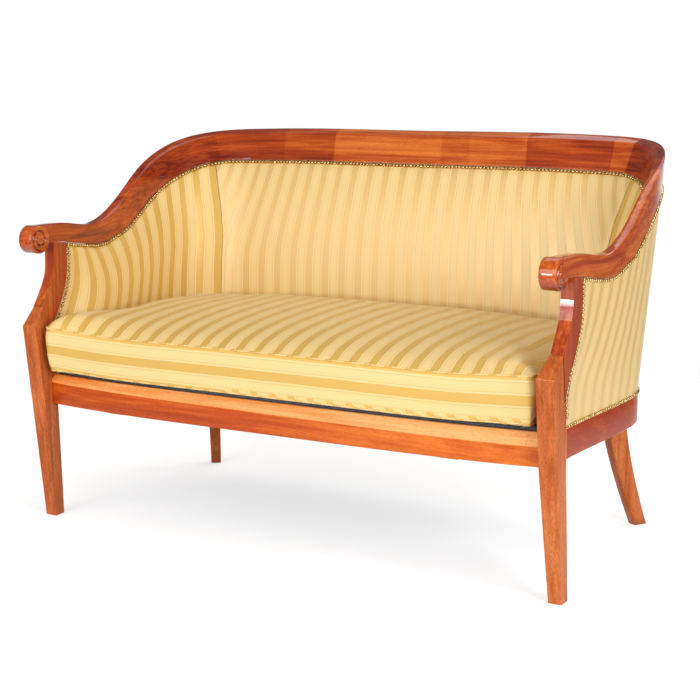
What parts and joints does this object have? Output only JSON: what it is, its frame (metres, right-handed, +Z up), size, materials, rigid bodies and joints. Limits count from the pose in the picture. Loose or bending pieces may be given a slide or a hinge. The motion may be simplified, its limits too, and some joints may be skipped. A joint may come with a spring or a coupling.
{
  "type": "settee",
  "caption": "Two-seat settee with a polished mahogany show frame, scrolled arms sweeping up into a raked crest, striped upholstery and a loose boxed cushion.",
  "frame": {"origin": "on the floor under the middle of the settee's bounding box", "axes": "+Z up, -Y the way a sitter faces, +X to the sitter's left"},
  "size_m": [1.3936, 0.7622, 0.9161],
  "materials": {
    "polished_mahogany": "gloss lacquered mahogany",
    "satin_mahogany": "satin lacquered mahogany",
    "beech_frame": "unfinished beech",
    "striped_satin": "gold and cream striped satin",
    "platform_cloth": "plain dark platform cloth",
    "jute_webbing": "woven jute",
    "curled_hair": "hair stuffing under calico",
    "dust_cloth": "thin black bottoming cloth"
  },
  "bodies": {
    "frame": {"arm_left": "polished_mahogany", "arm_pad_left": "striped_satin", "arm_pad_right": "striped_satin", "arm_post_left": "polished_mahogany", "arm_post_right": "polished_mahogany", "arm_right": "polished_mahogany", "back_pad": "striped_satin", "back_seat_rail": "polished_mahogany", "back_stile_left": "beech_frame", "back_stile_right": "beech_frame", "crest_corner_left": "polished_mahogany", "crest_corner_right": "polished_mahogany", "crest_rail_left": "polished_mahogany", "crest_rail_middle": "polished_mahogany", "crest_rail_right": "polished_mahogany", "dust_cover": "dust_cloth", "front_corner_block_left": "beech_frame", "front_corner_block_right": "beech_frame", "front_leg_left": "satin_mahogany", "front_leg_right": "satin_mahogany", "front_rail_dowel_lower_left": "beech_frame", "front_rail_dowel_lower_right": "beech_frame", "front_rail_dowel_upper_left": "beech_frame", "front_rail_dowel_upper_right": "beech_frame", "front_seat_rail": "polished_mahogany", "outside_back_cover": "striped_satin", "outside_side_cover_left": "striped_satin", "outside_side_cover_right": "striped_satin", "rear_corner_block_left": "beech_frame", "rear_corner_block_right": "beech_frame", "rear_leg_left": "satin_mahogany", "rear_leg_right": "satin_mahogany", "seat_corner_left": "polished_mahogany", "seat_corner_right": "polished_mahogany", "seat_platform": "platform_cloth", "seat_stuffing": "curled_hair", "seat_webbing": "jute_webbing", "side_rail_dowel_lower_left": "beech_frame", "side_rail_dowel_lower_right": "beech_frame", "side_rail_dowel_upper_left": "beech_frame", "side_rail_dowel_upper_right": "beech_frame", "side_seat_rail_left": "polished_mahogany", "side_seat_rail_right": "polished_mahogany"},
    "cushion": {"seat_cushion": "striped_satin"}
  },
  "joints": [
    {"name": "cushion_lift", "type": "slide", "parent": "frame", "child": "cushion", "axis": [0, 0, 1], "range_m": [0, 0.56]}
  ]
}
